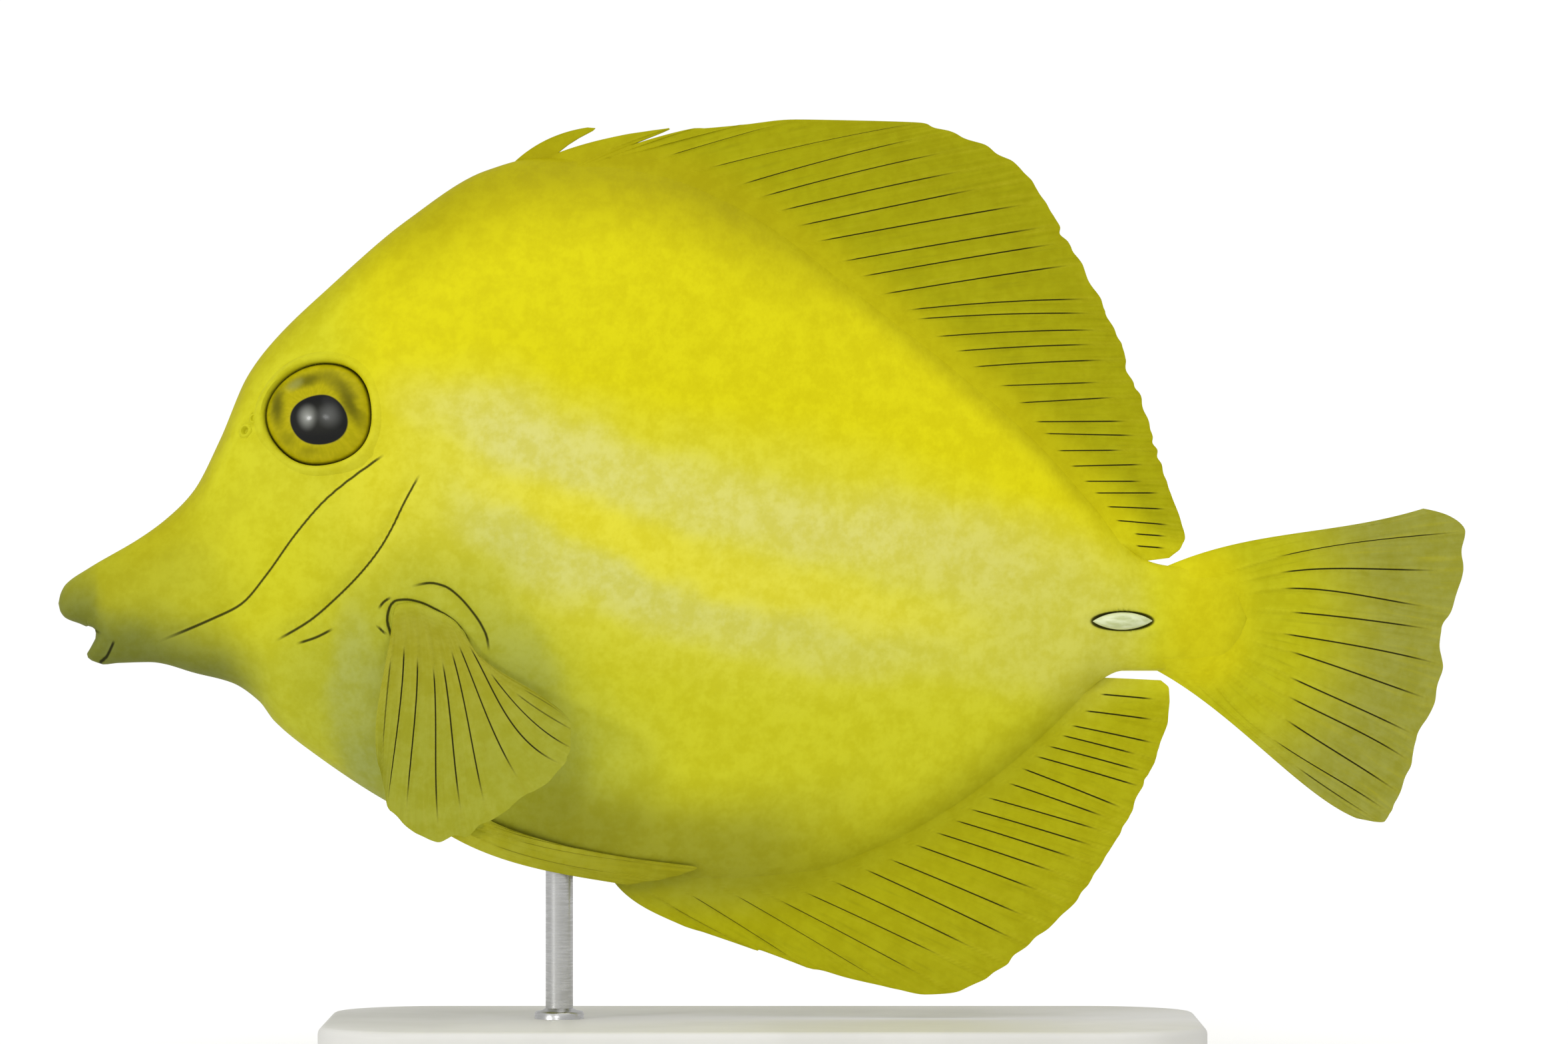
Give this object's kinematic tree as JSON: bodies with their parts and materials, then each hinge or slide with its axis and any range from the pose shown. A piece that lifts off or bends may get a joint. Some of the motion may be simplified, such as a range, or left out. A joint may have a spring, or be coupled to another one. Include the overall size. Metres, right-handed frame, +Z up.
{
  "type": "fish model",
  "caption": "Life-size still model of a yellow tang: a deep, thin yellow reef fish with a pointed snout and tall swept fins, held over a flat base by a short rod.",
  "frame": {"origin": "centre of the stand's underside, below the middle of the fish's length", "axes": "+Z up, the head towards -X, the fish's left flank towards -Y"},
  "size_m": [0.18, 0.06, 0.1209],
  "materials": {
    "skin": "satin yellow skin, finely mottled",
    "fin": "satin olive yellow membrane with ridged rays",
    "eye": "gloss, olive gold iris and black pupil",
    "scalpel": "smooth pale bone",
    "stand_paint": "satin pale paint",
    "stand_steel": "brushed"
  },
  "bodies": {
    "root": {"head": "skin", "gill_cover_left": "skin", "gill_cover_right": "skin", "trunk": "skin", "tail_stalk": "skin", "dorsal_fin": "fin", "anal_fin": "fin", "tail_fin": "fin", "pectoral_fin_left": "fin", "pectoral_fin_right": "fin", "pelvic_fin_left": "fin", "pelvic_fin_right": "fin", "eye_left": "eye", "eye_right": "eye", "scalpel_left": "scalpel", "scalpel_right": "scalpel", "stand_base": "stand_paint", "stand_rod": "stand_steel"}
  },
  "joints": []
}
